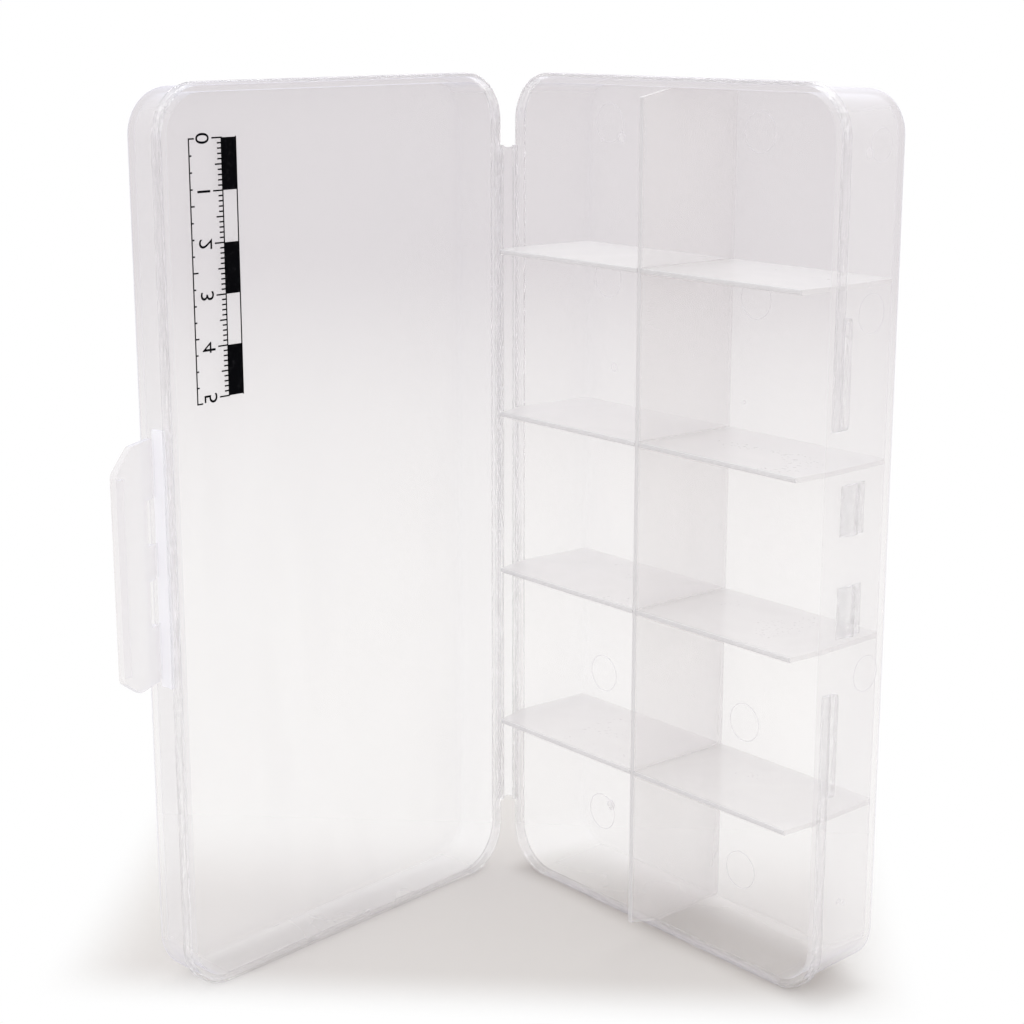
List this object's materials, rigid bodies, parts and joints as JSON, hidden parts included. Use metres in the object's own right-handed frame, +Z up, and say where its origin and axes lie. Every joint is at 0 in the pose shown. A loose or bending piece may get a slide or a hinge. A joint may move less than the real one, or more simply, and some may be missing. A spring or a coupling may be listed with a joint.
{
  "type": "fly box",
  "caption": "Shallow oblong fly box of clear plastic with compartments, a lid on a living hinge along one long side and a flap latch on the other, standing open on its end.",
  "frame": {"origin": "middle of the base rim's lower end, which the open box stands on", "axes": "+Z up along the box's length, +X across the base from the hinge side to the latch side, +Y from the base's open front to its floor"},
  "size_m": [0.1042, 0.1269, 0.178],
  "materials": {
    "base_plastic": "clear, faintly hazy polypropylene",
    "divider_plastic": "clear, hazy polypropylene",
    "lid_plastic": "clear, faintly hazy polypropylene",
    "latch_plastic": "frosted polypropylene",
    "web_plastic": "thin clear polypropylene web"
  },
  "bodies": {
    "base": {"base_tray": "base_plastic", "base_rim": "base_plastic", "latch_guard_upper": "base_plastic", "latch_guard_lower": "base_plastic", "centre_divider": "divider_plastic", "catch_lug_upper": "base_plastic", "catch_lug_lower": "base_plastic", "base_hinge_root": "base_plastic", "cross_divider_1_hinge_side": "divider_plastic", "cross_divider_1_latch_side": "divider_plastic", "cross_divider_2_hinge_side": "divider_plastic", "cross_divider_2_latch_side": "divider_plastic", "cross_divider_3_hinge_side": "divider_plastic", "cross_divider_3_latch_side": "divider_plastic", "cross_divider_4_hinge_side": "divider_plastic", "cross_divider_4_latch_side": "divider_plastic"},
    "lid": {"lid_shell": "lid_plastic", "lid_rim": "lid_plastic", "latch_seat": "lid_plastic", "lid_hinge_root": "lid_plastic", "hinge_web": "web_plastic"},
    "latch": {"latch_flap": "latch_plastic", "latch_hook": "latch_plastic", "latch_web_upper": "web_plastic", "latch_web_middle": "web_plastic", "latch_web_lower": "web_plastic"}
  },
  "joints": [
    {"name": "lid_hinge", "type": "hinge", "parent": "base", "child": "lid", "pos_m": [-0.04785, -0.00125, 0.089], "axis": [0, 0, 1], "range_deg": [-98, 82], "stiffness_Nm_per_rad": 0.01, "deforming": ["hinge_web"]},
    {"name": "latch_hinge", "type": "hinge", "parent": "lid", "child": "latch", "pos_m": [-0.0399, -0.09521, 0.089], "axis": [0, 0, 1], "range_deg": [-85, 65], "stiffness_Nm_per_rad": 0.002, "deforming": ["latch_web_upper", "latch_web_middle", "latch_web_lower"]}
  ]
}
